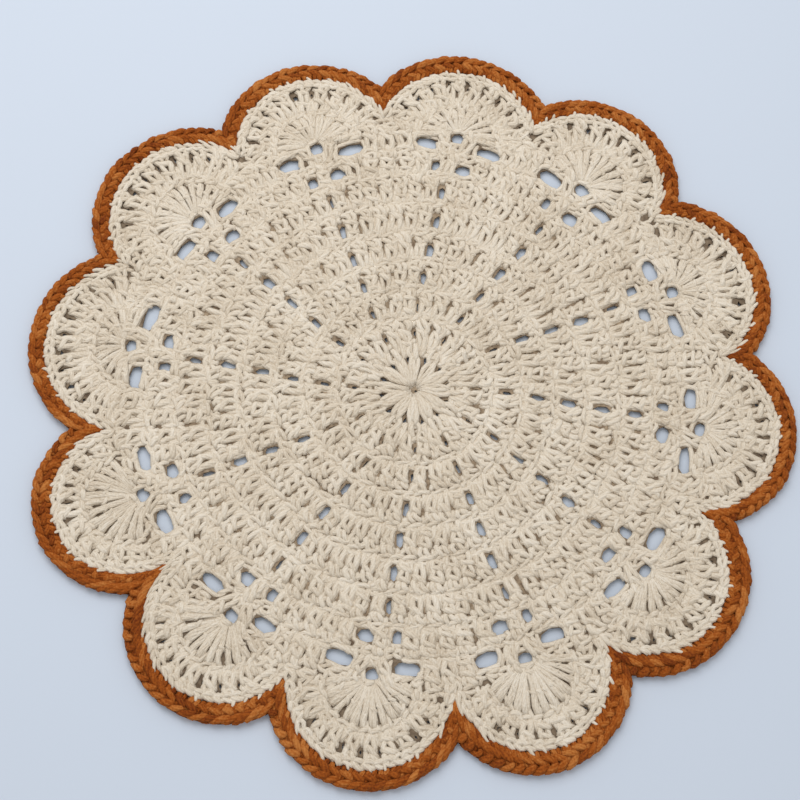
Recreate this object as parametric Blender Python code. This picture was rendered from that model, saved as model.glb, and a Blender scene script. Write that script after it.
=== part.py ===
"""A round crocheted table mat, 375 mm across, with twelve scallops.

Two pieces of cotton crochet lie flat on the table:
  mat_body - the cream mat: nine rounds of tall stitches and twelve fan-shaped scallops.
  edging   - the rust coloured round that is crocheted onto the scallops.

The mat lies in the XY plane with its underside at z = 0, and the origin is on the
table under the middle of the mat's box. Lengths in the tables are millimetres.
"""
import math
from collections import namedtuple

import bpy
import bmesh
from mathutils import Vector
from mathutils.geometry import delaunay_2d_cdt

MM = 0.001

# --- the fabric, in millimetres ---------------------------------------------------
BODY_THICKNESS = 4.4        # a tall stitch in thick cotton, at the middle of a round
GROOVE_DEPTH = 0.9          # how far the fabric sinks where two rounds meet
PIECE_GAP = 0.3             # the body and the edging, side by side
ARC_STEPS = 14              # straight runs along one scallop
RELIEF_STEP = 8.0           # spacing of the points that carry the rounds' relief
HOLE_MARGIN = 1.3           # bare cloth kept between such a point and a hole

# One row a scallop, going round from the right-hand side. The scallop is an arc about
# its centre, which lies at a bearing and a distance from the middle of the mat.
# band is the width of the edging there. twist is how far the line of eyelets that
# ends at this scallop has turned by the time it gets there.
Scallop = namedtuple("Scallop", "bearing_deg centre_mm radius_mm band_mm twist_deg")
SCALLOPS = (
    Scallop(22.2, 139.2, 44.1, 7.4, 9.4),
    Scallop(51.8, 142.9, 41.7, 7.3, 9.0),
    Scallop(80.2, 137.2, 42.6, 8.9, 9.9),
    Scallop(110.7, 139.2, 42.0, 8.2, 7.9),
    Scallop(140.5, 142.3, 43.7, 7.8, 7.4),
    Scallop(170.9, 137.4, 45.8, 6.9, 6.0),
    Scallop(202.3, 147.1, 37.3, 8.6, 4.7),
    Scallop(232.2, 145.0, 38.2, 8.9, 6.9),
    Scallop(261.3, 144.7, 39.8, 8.6, 8.2),
    Scallop(290.9, 146.8, 37.8, 9.6, 8.2),
    Scallop(320.4, 140.3, 41.3, 9.4, 9.4),
    Scallop(352.2, 139.5, 41.6, 7.5, 9.1),
)

# One row a round of tall stitches: where it ends, where its eyelet sits, the eyelet's
# width and length, the share of the line's twist that is still to come there, and how
# far ahead of the line the eyelet is.
Round = namedtuple("Round", "outer_mm eyelet_mm eyelet_width eyelet_length twist_left ahead_deg")
ROUNDS = (
    Round(22.5, 16.8, 2.4, 4.0, 1.00, 11.5),
    Round(37.0, 30.0, 2.6, 5.4, 1.00, 0.0),
    Round(52.0, 44.6, 2.6, 7.0, 0.78, 0.0),
    Round(67.5, 60.0, 3.0, 7.4, 0.53, 0.0),
    Round(83.5, 75.6, 3.6, 7.6, 0.34, 0.0),
    Round(100.0, 92.0, 4.2, 7.8, 0.22, 0.0),
    Round(116.0, 108.6, 3.2, 7.6, 0.20, 0.0),
    Round(130.0, 0.0, 0.0, 0.0, 0.0, 0.0),
)

# One row a hole of the flower that ends each line of eyelets, measured from the
# scallop's bearing: out from the middle, sideways, the hole's two axes and its turn.
Petal = namedtuple("Petal", "out_mm side_mm length_mm width_mm turn_deg")
FLOWER = (
    Petal(135.4, 15.6, 12.4, 7.0, 0.0),
    Petal(134.4, -16.4, 13.8, 6.6, 5.0),
    Petal(140.8, 0.0, 7.2, 6.0, 0.0),
    Petal(122.4, 8.8, 4.8, 6.6, 0.0),
    Petal(122.8, -5.2, 8.2, 6.4, 0.0),
)
FAN_RADIUS = 21.0           # the fan of stitches that is worked from the flower
CENTRE_HOLE = 2.6

# The slits between the outer round's stitches, as arcs about the scallop's centre.
SLIT_INSET = 8.6            # below the scallop's edge
SLIT_PITCH = 11.4           # from slit to slit, along the scallop's edge
SLIT_SPREAD_DEG = 66.0      # slits stop here, on both sides of the scallop's bearing
SLIT_LENGTH = 5.4
SLIT_WIDTH = 2.3

# --- the edging's section: across from the body to the outside, and up -------------
EDGING_HEIGHT = 5.0
EDGING_SECTION = (
    (0.00, 0.00),
    (0.84, 0.00),
    (1.00, 0.30),
    (1.00, 0.62),
    (0.74, 0.96),
    (0.34, 1.00),
    (0.00, 0.72),
)

CREAM = (0.62, 0.53, 0.42, 1.0)
RUST = (0.27, 0.075, 0.015, 1.0)


def polar(bearing_deg, distance):
    """The point at a bearing and a distance from the middle of the rounds."""
    angle = math.radians(bearing_deg)
    return Vector((math.cos(angle), math.sin(angle))) * distance


def arc_meeting(first, second, first_radius, second_radius):
    """The outer point where the arcs of two neighbouring scallops cross."""
    span = second - first
    along = (first_radius ** 2 - second_radius ** 2 + span.length_squared) / (2 * span.length)
    across = math.sqrt(first_radius ** 2 - along ** 2)
    ahead = span.normalized()
    outward = Vector((ahead.y, -ahead.x))
    return first + ahead * along + outward * across


def scalloped_outline(extra_radius, band_share=0.0):
    """Points counter-clockwise round all the scallops, ARC_STEPS to each.

    Each arc's radius is the scallop's, plus extra_radius, plus a share of its band.
    """
    centres = [polar(row.bearing_deg, row.centre_mm) for row in SCALLOPS]
    radii = [row.radius_mm + extra_radius + row.band_mm * band_share for row in SCALLOPS]
    count = len(SCALLOPS)
    valleys = []
    for index in range(count):
        after = (index + 1) % count
        valleys.append(arc_meeting(centres[index], centres[after], radii[index], radii[after]))
    points = []
    for index in range(count):
        start = valleys[index - 1] - centres[index]
        end = valleys[index] - centres[index]
        start_angle = math.atan2(start.y, start.x)
        sweep = (math.atan2(end.y, end.x) - start_angle) % math.tau
        for step in range(ARC_STEPS):
            angle = start_angle + sweep * step / ARC_STEPS
            reach = Vector((math.cos(angle), math.sin(angle))) * radii[index]
            points.append(centres[index] + reach)
    return points


def middle_of_box(points):
    """The middle of the box round a list of points."""
    xs = [point.x for point in points]
    ys = [point.y for point in points]
    return Vector((min(xs) + max(xs), min(ys) + max(ys))) / 2


def hole_loop(centre, length_axis, length, width, sides):
    """A hole's corners, as an ellipse whose length lies along length_axis."""
    side_axis = Vector((-length_axis.y, length_axis.x))
    corners = []
    for corner in range(sides):
        angle = math.tau * corner / sides
        along = length_axis * (math.cos(angle) * length / 2)
        across = side_axis * (math.sin(angle) * width / 2)
        corners.append(centre + along + across)
    return corners


def eyelet_holes():
    """The twelve lines of eyelets between the wedges, leaning as the rounds turn."""
    loops = [hole_loop(Vector((0.0, 0.0)), Vector((1.0, 0.0)), CENTRE_HOLE, CENTRE_HOLE, 6)]
    for row in SCALLOPS:
        for ring in ROUNDS:
            if ring.eyelet_mm == 0.0:
                continue
            bearing = row.bearing_deg + row.twist_deg * ring.twist_left + ring.ahead_deg
            centre = polar(bearing, ring.eyelet_mm)
            outward = polar(bearing, 1.0)
            sides = 6 if ring.eyelet_length > 5.0 else 4
            loops.append(hole_loop(centre, outward, ring.eyelet_length, ring.eyelet_width, sides))
    return loops


def flower_holes():
    """The five holes that end each line of eyelets."""
    loops = []
    for row in SCALLOPS:
        outward = polar(row.bearing_deg, 1.0)
        sideways = Vector((-outward.y, outward.x))
        for petal in FLOWER:
            centre = outward * petal.out_mm + sideways * petal.side_mm
            turn = math.radians(petal.turn_deg)
            axis = sideways * math.cos(turn) + outward * math.sin(turn)
            loops.append(hole_loop(centre, axis, petal.length_mm, petal.width_mm, 8))
    return loops


def slit_holes():
    """The slits between the stitches of each scallop's outer round."""
    loops = []
    for row in SCALLOPS:
        centre = polar(row.bearing_deg, row.centre_mm)
        pitch_deg = math.degrees(SLIT_PITCH / row.radius_mm)
        each_side = int(SLIT_SPREAD_DEG / pitch_deg)
        for number in range(-each_side, each_side + 1):
            reach = polar(row.bearing_deg + number * pitch_deg, 1.0)
            middle = centre + reach * (row.radius_mm - SLIT_INSET)
            loops.append(hole_loop(middle, reach, SLIT_LENGTH, SLIT_WIDTH, 4))
    return loops


def nearest_scallop(point):
    """The scallop whose centre is nearest, and how far away that centre is."""
    def away(row):
        return (point - polar(row.bearing_deg, row.centre_mm)).length
    row = min(SCALLOPS, key=away)
    return row, away(row)


def share_between(value, stops):
    """Where a value lies between the two stops around it, from 0 to 1."""
    for low, high in zip(stops, stops[1:]):
        if value <= high:
            return max(0.0, (value - low) / (high - low))
    return 1.0


def top_height(point):
    """The height of the upper face: a ridge along each round, a groove between two."""
    distance = point.length
    if distance <= ROUNDS[-1].outer_mm:
        share = share_between(distance, [0.0] + [ring.outer_mm for ring in ROUNDS])
    else:
        row, away = nearest_scallop(point)
        share = share_between(away, [0.0, FAN_RADIUS, row.radius_mm])
    groove = 0.5 + 0.5 * math.cos(math.tau * share)
    return BODY_THICKNESS - GROOVE_DEPTH * groove


def relief_points(loops):
    """Points on the rounds' ridges and grooves that carry the relief, clear of the holes."""
    rings = []
    inner = 0.0
    for ring in ROUNDS:
        rings.append((inner + ring.outer_mm) / 2)
        rings.append(ring.outer_mm)
        inner = ring.outer_mm
    points = []
    for distance in rings:
        count = max(8, round(math.tau * distance / RELIEF_STEP))
        points += [polar(360.0 * number / count, distance) for number in range(count)]
    for row in SCALLOPS:
        centre = polar(row.bearing_deg, row.centre_mm)
        for reach in (FAN_RADIUS / 2, FAN_RADIUS, (FAN_RADIUS + row.radius_mm) / 2):
            steps = max(3, round(math.pi * reach / RELIEF_STEP))
            for step in range(steps + 1):
                points.append(centre + polar(row.bearing_deg - 90.0 + 180.0 * step / steps, reach))
    holes = []
    for loop in loops[1:]:
        middle = middle_of_box(loop)
        holes.append((middle, max((corner - middle).length for corner in loop)))
    return [point for point in points
            if all((point - middle).length > reach + HOLE_MARGIN for middle, reach in holes)]


def filled_triangles(loops, loose):
    """Triangles over the first loop, less the other loops, through the loose points."""
    points = [point for loop in loops for point in loop] + list(loose)
    owner = [number for number, loop in enumerate(loops) for _ in loop]
    owner += [-1] * len(loose)
    edges = []
    first = 0
    for loop in loops:
        size = len(loop)
        edges += [(first + step, first + (step + 1) % size) for step in range(size)]
        first += size
    found, _, faces, sources, _, _ = delaunay_2d_cdt(points, edges, [], 0, 1e-6)
    if len(found) != len(points):
        raise RuntimeError("two loops of the mat cross or touch")
    triangles = []
    for face in faces:
        corners = [sources[corner][0] for corner in face]
        owners = {owner[corner] for corner in corners}
        if len(owners) == 1 and -1 not in owners:
            middle = sum((points[corner] for corner in corners), Vector((0.0, 0.0))) / 3
            row, away = nearest_scallop(middle)
            outside = owners == {0} and away > row.radius_mm and middle.length > row.centre_mm
            if outside or owners != {0}:
                continue
        triangles.append(corners)
    return points, triangles


def make_material(name, colour, roughness):
    """A plain Principled material for one piece."""
    material = bpy.data.materials.new(name)
    material.use_nodes = True
    shader = material.node_tree.nodes["Principled BSDF"]
    shader.inputs["Base Color"].default_value = colour
    shader.inputs["Roughness"].default_value = roughness
    shader.inputs["Metallic"].default_value = 0.0
    return material


def make_object(name, shape, material):
    """Turn a bmesh into a named object with outward faces and one material."""
    bmesh.ops.recalc_face_normals(shape, faces=shape.faces[:])
    mesh = bpy.data.meshes.new(name)
    shape.to_mesh(mesh)
    shape.free()
    mesh.materials.append(material)
    item = bpy.data.objects.new(name, mesh)
    bpy.context.scene.collection.objects.link(item)
    return item


def build_body(middle):
    """The cream mat: an upper face with the rounds' relief, a flat underside and walls."""
    outline = scalloped_outline(0.0)
    loops = [outline] + eyelet_holes() + flower_holes() + slit_holes()
    top_points, top_faces = filled_triangles(loops, relief_points(loops))
    low_points, low_faces = filled_triangles(loops, [])
    shape = bmesh.new()

    def place(point, height):
        spot = point - middle
        return shape.verts.new((spot.x * MM, spot.y * MM, height * MM))

    top = [place(point, top_height(point)) for point in top_points]
    low = [place(point, 0.0) for point in low_points]
    for a, b, c in top_faces:
        shape.faces.new((top[a], top[b], top[c]))
    for a, b, c in low_faces:
        shape.faces.new((low[c], low[b], low[a]))
    first = 0
    for loop in loops:
        for step in range(len(loop)):
            a = first + step
            b = first + (step + 1) % len(loop)
            shape.faces.new((low[a], low[b], top[b], top[a]))
        first += len(loop)
    return make_object("mat_body", shape, make_material("cream_cotton", CREAM, 0.9))


def build_edging(middle):
    """The rust round: its section carried round the scallops, from inner to outer edge."""
    inner = scalloped_outline(PIECE_GAP)
    outer = scalloped_outline(0.0, 1.0)
    shape = bmesh.new()
    rings = []
    for near, far in zip(inner, outer):
        ring = []
        for across, up in EDGING_SECTION:
            spot = near.lerp(far, across) - middle
            ring.append(shape.verts.new((spot.x * MM, spot.y * MM, up * EDGING_HEIGHT * MM)))
        rings.append(ring)
    corners = len(EDGING_SECTION)
    for here, ahead in zip(rings, rings[1:] + rings[:1]):
        for corner in range(corners):
            after = (corner + 1) % corners
            shape.faces.new((here[corner], ahead[corner], ahead[after], here[after]))
    return make_object("edging", shape, make_material("rust_cotton", RUST, 0.9))


def main():
    """Clear the scene and build both pieces."""
    for item in list(bpy.data.objects):
        bpy.data.objects.remove(item, do_unlink=True)
    middle = middle_of_box(scalloped_outline(0.0, 1.0))
    build_body(middle)
    build_edging(middle)


main()
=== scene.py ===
# %% [markdown]
# A round table mat, crocheted by hand from thick cotton. It is worked in rounds from
# the middle outwards: tall stitches in cream, then twelve fans, then one round of short
# stitches in rust. The solid model holds its outline, its openings and its thickness.
# This lesson dresses that model: every stitch is laid as yarn, and each strand of yarn
# is a tube swept along a smooth path.
# %% The frame and the tools
import math
from collections import namedtuple

import bmesh
import bpy
import numpy as np
from mathutils import Matrix


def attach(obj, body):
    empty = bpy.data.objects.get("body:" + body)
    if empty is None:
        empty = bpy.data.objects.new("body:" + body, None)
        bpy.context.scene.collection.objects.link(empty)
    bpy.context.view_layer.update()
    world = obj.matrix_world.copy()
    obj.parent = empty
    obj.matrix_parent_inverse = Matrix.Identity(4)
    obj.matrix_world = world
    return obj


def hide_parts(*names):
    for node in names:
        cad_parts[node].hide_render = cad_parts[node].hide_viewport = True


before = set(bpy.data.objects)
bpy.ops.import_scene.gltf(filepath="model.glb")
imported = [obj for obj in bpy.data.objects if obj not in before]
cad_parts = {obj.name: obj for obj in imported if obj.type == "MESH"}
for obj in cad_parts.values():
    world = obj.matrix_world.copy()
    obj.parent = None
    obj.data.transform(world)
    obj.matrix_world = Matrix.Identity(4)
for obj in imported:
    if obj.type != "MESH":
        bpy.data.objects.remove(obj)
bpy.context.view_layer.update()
chance = np.random.default_rng(41)

# %% [markdown]
# The mat was measured as rounds and scallops, so the lesson keeps those two tables and
# works out every stitch from them. Twelve scallops stand round the mat. No two are quite
# alike, as handwork never is, and the uneven numbers are what make it look handmade.
# %% The twelve scallops
# bearing and centre distance, radius of the cream part, width of the edging, and how
# far the line of eyelets that ends at the scallop has turned by the middle of the mat
SCALLOPS = np.array([
    (22.2, 139.2, 44.1, 7.4, 9.4), (51.8, 142.9, 41.7, 7.3, 9.0),
    (80.2, 137.2, 42.6, 8.9, 9.9), (110.7, 139.2, 42.0, 8.2, 7.9),
    (140.5, 142.3, 43.7, 7.8, 7.4), (170.9, 137.4, 45.8, 6.9, 6.0),
    (202.3, 147.1, 37.3, 8.6, 4.7), (232.2, 145.0, 38.2, 8.9, 6.9),
    (261.3, 144.7, 39.8, 8.6, 8.2), (290.9, 146.8, 37.8, 9.6, 8.2),
    (320.4, 140.3, 41.3, 9.4, 9.4), (352.2, 139.5, 41.6, 7.5, 9.1),
])
BEARING, REACH, RADIUS, BAND, TWIST = SCALLOPS.T
NEXT_BEARING = np.append(BEARING[1:], BEARING[0] + 360.0)


def direction(bearing):
    """Unit vectors at bearings in degrees: (cosine, sine) of each."""
    angle = np.radians(bearing)
    return np.stack([np.cos(angle), np.sin(angle)], axis=-1)


def clockwise(vectors):
    """Each vector turned a quarter turn clockwise: (x, y) becomes (y, -x)."""
    return np.stack([vectors[..., 1], -vectors[..., 0]], axis=-1)


def unit(vectors):
    """Each vector divided by its length."""
    return vectors / np.linalg.norm(vectors, axis=-1, keepdims=True)


CENTRES = direction(BEARING) * REACH[:, None]
print("scallops:", len(SCALLOPS), "centre distances", REACH.min(), "to", REACH.max(), "mm")

# %% [markdown]
# The scallops' outline is twelve arcs that cross in the valleys. Where two arcs cross
# comes from the triangle of the two centres and the crossing: how far along the line
# between the centres, and how far out from it. The solid model stands with the middle of
# its box on the origin, so the same outline also tells where the rounds' own middle is.
# %% Arcs and valleys
def valley_points(radii):
    """Where neighbouring arcs cross: along = (r0^2 - r1^2 + d^2) / 2d, out = sqrt(r0^2 - along^2)."""
    after = np.roll(CENTRES, -1, axis=0)
    span = after - CENTRES
    distance = np.linalg.norm(span, axis=1)
    along = (radii ** 2 - np.roll(radii, -1) ** 2 + distance ** 2) / (2 * distance)
    out = np.sqrt(np.maximum(radii ** 2 - along ** 2, 0.0))
    ahead = span / distance[:, None]
    return CENTRES + ahead * along[:, None] + clockwise(ahead) * out[:, None]


def arc_ends(radii):
    """Each arc's first and last angle about its own centre, in degrees, first < last."""
    valleys = valley_points(radii)
    first = np.roll(valleys, 1, axis=0) - CENTRES
    last = valleys - CENTRES
    start = np.degrees(np.arctan2(first[:, 1], first[:, 0]))
    sweep = (np.degrees(np.arctan2(last[:, 1], last[:, 0])) - start) % 360.0
    return start, start + sweep


def outline(radii, steps=14):
    """The arcs as one closed ring of points: centre + radius * direction(angle)."""
    start, end = arc_ends(radii)
    share = np.arange(steps) / steps
    angles = start[:, None] + (end - start)[:, None] * share
    return (CENTRES[:, None] + direction(angles) * radii[:, None, None]).reshape(-1, 2)


edge = outline(RADIUS + BAND)
MIDDLE = (edge.min(axis=0) + edge.max(axis=0)) / 2
print("rounds' middle in the model, mm:", np.round(-MIDDLE, 3))

# %% [markdown]
# Rounds one to eight are rings of tall stitches. At each of the twelve lines the maker
# works a single chain stitch instead, which leaves an eyelet. The lines lean round the
# middle, because each round adds a stitch on the same side of its eyelet.
# %% The eight rounds and the lines of eyelets
# how far out each round ends, in millimetres; then, for rounds two to seven, where the
# eyelet sits, its width and length, and how much of the line's turn is left there
ROUND_ENDS = np.array([19.0, 37.0, 52.0, 67.5, 83.5, 100.0, 116.0, 130.0])
EYELET_AT = np.array([30.0, 44.6, 60.0, 75.6, 92.0, 108.6])
EYELET_WIDTH = np.array([2.7, 3.3, 3.9, 4.8, 5.1, 4.1])
EYELET_LENGTH = np.array([4.4, 7.0, 7.4, 7.6, 7.8, 7.6])
TURN_LEFT = np.array([1.00, 0.78, 0.53, 0.34, 0.22, 0.20])


def line_bearing(distance):
    """The twelve lines' bearings at a distance: scallop's bearing + its twist * the turn left there."""
    return BEARING + TWIST * np.interp(distance, EYELET_AT, TURN_LEFT)


print("line 1 leans from", line_bearing(30.0)[0], "to", line_bearing(108.6)[0], "degrees")

# %% [markdown]
# Every opening of the mat is an ellipse: its middle, the direction of its length, its
# length and its width. There is one in the very middle, twelve round the first petals,
# an eyelet in each round of each line, five to a flower below each scallop, and narrow
# slits between the stitches of the outer round. One table of them serves all steps.
# %% The openings
# a flower's five holes: how far out and to the side, length, width, and degrees of turn
FLOWER = np.array([
    (135.4, 15.6, 12.4, 7.0, 0.0), (134.4, -16.4, 13.8, 6.6, 5.0), (140.8, 0.0, 7.2, 6.0, 0.0),
    (122.4, 8.8, 4.8, 6.6, 0.0), (122.8, -5.2, 8.2, 6.4, 0.0),
])
SLIT_INSET, SLIT_PITCH = 8.6, 11.4  # from the rim, and from one slit to the next
SLIT_LENGTH, SLIT_WIDTH = 5.0, 1.5
SLIT_SPREAD = 66.0  # how far round they go, degrees to each side of the scallop's bearing
PETAL_GAP_TURN = 11.5  # degrees from a line of eyelets to a gap between two petals
PETAL_GAP_AT = 15.8  # and how far out that gap lies
Openings = namedtuple("Openings", "middle axis size")


def openings(middle, axis, length, width):
    """Openings from their middles, their long directions and their two full sizes."""
    middle = np.asarray(middle, dtype=float).reshape(-1, 2)
    size = np.stack([np.resize(full, len(middle)) for full in (length, width)], axis=-1)
    return Openings(middle, np.broadcast_to(axis, middle.shape), size / 2)


def eyelet_openings(at, length, width):
    """The twelve eyelets of one round, one on each line, no two quite alike."""
    outward = direction(line_bearing(at))
    uneven = chance.uniform((0.85, 0.7), (1.1, 1.15), (12, 2))
    axis = direction(line_bearing(at) + chance.normal(-6.0, 8.0, 12))
    middle = outward * at + chance.normal(0.0, 0.35, (12, 2))
    return openings(middle, axis, length * uneven[:, 0], width * uneven[:, 1])


def flower_openings():
    """The five holes below each scallop, as sixty openings, each moved and turned a little."""
    outward = direction(BEARING)
    sideways = -clockwise(outward)
    out_mm, side_mm, length, width, turn = FLOWER.T[:, :, None, None]
    angle = np.radians(turn + chance.normal(0.0, 7.0, (5, 12, 1)))
    middle = outward * out_mm + sideways * side_mm + chance.normal(0.0, 0.4, (5, 12, 2))
    axis = sideways * np.cos(angle) + outward * np.sin(angle)
    grown = chance.uniform(0.82, 1.05, (2, 60))
    length, width = np.repeat(length, 12) * grown[0], np.repeat(width, 12) * grown[1]
    return openings(middle, axis.reshape(-1, 2), length, width)


def slit_openings(number):
    """The slits of one scallop: arcs of them at the slit pitch, on both sides of its bearing."""
    pitch = math.degrees(SLIT_PITCH / RADIUS[number])
    each_side = int(SLIT_SPREAD / pitch)
    place = np.arange(-each_side, each_side + 1)
    reach = direction(BEARING[number] + (place + chance.normal(0.0, 0.07, len(place))) * pitch)
    inset = SLIT_INSET + chance.normal(0.0, 0.5, (len(place), 1))
    uneven = chance.uniform(0.72, 1.12, (2, len(place)))
    turned = direction(chance.normal(0.0, 14.0, len(place)))
    lean = reach * turned[:, :1] + clockwise(reach) * turned[:, 1:]
    return openings(CENTRES[number] + reach * (RADIUS[number] - inset), lean,
                    SLIT_LENGTH * uneven[0], SLIT_WIDTH * uneven[1])


first_gaps = BEARING + TWIST + PETAL_GAP_TURN
HOLES = [openings((0.0, 0.0), (0.3, 1.0), 2.2, 1.2),
         openings(direction(first_gaps) * PETAL_GAP_AT, direction(first_gaps), 3.4, 2.4)]
HOLES += [eyelet_openings(*row) for row in zip(EYELET_AT, EYELET_LENGTH, EYELET_WIDTH)]
FLOWER_HOLES = flower_openings()
HOLES += [FLOWER_HOLES] + [slit_openings(number) for number in range(12)]
ALL_HOLES = Openings(*(np.concatenate(parts) for parts in zip(*HOLES)))
print("openings:", len(ALL_HOLES.middle))

# %% [markdown]
# Yarn never runs across an opening: it is pulled aside. The same is done with points
# here. A point that lies inside an opening, or nearer to its rim than a clearance, is
# moved straight away from the opening's middle until it lies on the rim again.
# %% Keeping the openings clear
LEAST_SHARE = 0.12  # so that a point in an opening's very middle isn't flung far away


def rim_share(flat, clearance):
    """How far out each point is in its nearest opening, as a share of the way to the rim.

    With a and b the distances along and across an opening, and its half sizes grown by the
    clearance, the share is sqrt((a / length)^2 + (b / width)^2). Also gives the opening."""
    away = flat[:, None] - ALL_HOLES.middle
    along = np.sum(away * ALL_HOLES.axis, axis=2)
    across = np.sum(away * clockwise(ALL_HOLES.axis), axis=2)
    grown = ALL_HOLES.size + np.reshape(clearance, (-1, 1, 1))
    share = np.sqrt((along / grown[..., 0]) ** 2 + (across / grown[..., 1]) ** 2)
    nearest = np.argmin(share, axis=1)
    return share[np.arange(len(flat)), nearest], nearest


def step_aside(flat, clearance):
    """Points pushed out of the openings: middle + (point - middle) / share where share < 1."""
    share, nearest = rim_share(flat, clearance)
    middle = ALL_HOLES.middle[nearest]
    push = np.where(share < 1.0, 1.0 / np.maximum(share, LEAST_SHARE), 1.0)
    return middle + (flat - middle) * push[:, None]


print("a point 1 mm off the middle goes to", step_aside(np.array([[1.0, 0.0]]), 0.5).round(2))

# %% [markdown]
# One stitch is thought of as a small patch of cloth with four sides. It stands on a
# base point and reaches a top point, and at each of them there is a step sideways that
# is one stitch wide. Any spot of the patch is then given by two numbers, so a whole
# round of stitches, bent and fanned as it is, can be worked out as arrays at once.
# %% Patches of stitches
Patches = namedtuple("Patches", "base top base_step top_step")


def patches(base, top, base_step, top_step):
    """Stitch patches from four arrays of plane vectors, in millimetres."""
    parts = (base, top, base_step, top_step)
    return Patches(*(np.array(part, dtype=float).reshape(-1, 2) for part in parts))


def joined(*groups):
    """Several groups of patches as one."""
    return Patches(*(np.concatenate(parts) for parts in zip(*groups)))


def all_round(make):
    """What a function makes for each of the twelve scallops, as one group."""
    return joined(*(make(number) for number in range(12)))


def chosen(group, keep):
    """The patches of a group that a true-or-false array keeps."""
    return Patches(*(part[keep] for part in group))


def radial(base_bearing, base_mm, base_width, top_bearing, top_mm, top_width, centre=(0.0, 0.0)):
    """Patches that fan out from a centre: centre + direction * distance, stepping clockwise."""
    base_bearing, top_bearing = np.broadcast_arrays(base_bearing, top_bearing)
    low, high = direction(base_bearing), direction(top_bearing)

    def scaled(vectors, amount):
        return vectors * np.broadcast_to(amount, base_bearing.shape)[..., None]
    return patches(np.asarray(centre) + scaled(low, base_mm), np.asarray(centre) + scaled(high, top_mm),
                   scaled(clockwise(low), base_width), scaled(clockwise(high), top_width))


# %% [markdown]
# A round is laid wedge by wedge. Between two lines of eyelets the stitches share the
# arc evenly, less the room that the eyelet takes. Round two has two stitches to a wedge,
# and each round after it has one more. Round one is twelve petals round the middle.
# %% Rounds one to seven
GAP_LOW, GAP_HIGH = 0.4, 0.6  # gaps at a round's foot and top, as shares of the eyelet's width
LINK_YARN, BESIDE_YARN, BEYOND_YARN = 4.0, 2.2, 2.0  # yarn over, beside and beyond an eyelet


def wedge_round(number):
    """Round 2 to 7: stitch i of n stands at line + (gap / 2 + (i + 0.5) * width) / distance."""
    low_mm, high_mm = ROUND_ENDS[number - 2:number]
    eyelet = EYELET_WIDTH[number - 2]
    count = number  # round two has two stitches to a wedge, round three has three
    parts = []
    for distance, gap in ((low_mm, eyelet * GAP_LOW), (high_mm, eyelet * GAP_HIGH)):
        line = line_bearing(distance)
        arc = np.radians(np.append(line[1:], line[0] + 360.0) - line) * distance
        width = (arc - gap) / count
        along = gap / 2 + (np.arange(count) + 0.5) * width[:, None]
        parts.append((line[:, None] + np.degrees(along / distance), width[:, None]))
    (base_bearing, base_width), (top_bearing, top_width) = parts
    return radial(base_bearing, low_mm, base_width, top_bearing, high_mm, top_width)


def eyelet_links(number):
    """The chain stitch over each eyelet of a round, as a narrow patch on the same circle."""
    distance = ROUND_ENDS[number - 1]
    width = EYELET_WIDTH[number - 2] * GAP_HIGH + LINK_YARN
    line = line_bearing(distance)
    return radial(line, distance - LINK_YARN, width, line, distance, width)


def eyelet_sides(number):
    """A patch over each eyelet, as wide as the eyelet and the yarn on both sides of it."""
    at, width, length = (column[number - 2] for column in (EYELET_AT, EYELET_WIDTH, EYELET_LENGTH))
    line = line_bearing(at)
    return radial(line, at - length / 2 - BEYOND_YARN, width + BESIDE_YARN,
                  line, at + length / 2 + BEYOND_YARN, width + BESIDE_YARN)


PETAL_FOOT, PETAL_TOP = (2.4, 1.4), (18.6, 9.0)  # distance from the middle, and width
FIRST_LINK = 14.0, 18.2, 5.2  # feet, tops and width of the chain's links
first_middles = (first_gaps + np.append(first_gaps[1:], first_gaps[0] + 360.0)) / 2
petals = radial(first_middles, *PETAL_FOOT, first_middles, *PETAL_TOP)
link_bearings = np.append(first_middles, first_gaps)
foot, top, width = FIRST_LINK
first_links = radial(link_bearings, foot, width, link_bearings, top, width)
wedge_rounds = [wedge_round(number) for number in range(2, 8)]
print("stitches in rounds 1 to 7:", len(petals.base), [len(group.base) for group in wedge_rounds])

# %% [markdown]
# The eighth and ninth rounds open into a small flower of five holes below each scallop.
# Round eight has one lone stitch between two holes. Round nine has a V of two stitches
# that starts from it, and a bare chain on each side that spans the two wide holes.
# %% Rounds eight and nine, with the flowers
def spread_between(start, end, count, distance):
    """Stitches evenly between two bearings: their bearings and their width at a distance."""
    pitch = (end - start) / count
    bearings = start[:, None] + pitch[:, None] * (np.arange(count) + 0.5)
    return bearings, np.radians(pitch)[:, None] * distance


def beside(side_mm, distance):
    """The bearing change of a spot that lies side_mm counter-clockwise at a distance."""
    return math.degrees(side_mm / distance)


EIGHT_LOW, EIGHT_TOP, NINE_TOP = 116.0, 130.0, 146.0  # where the two rounds start and end
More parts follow.
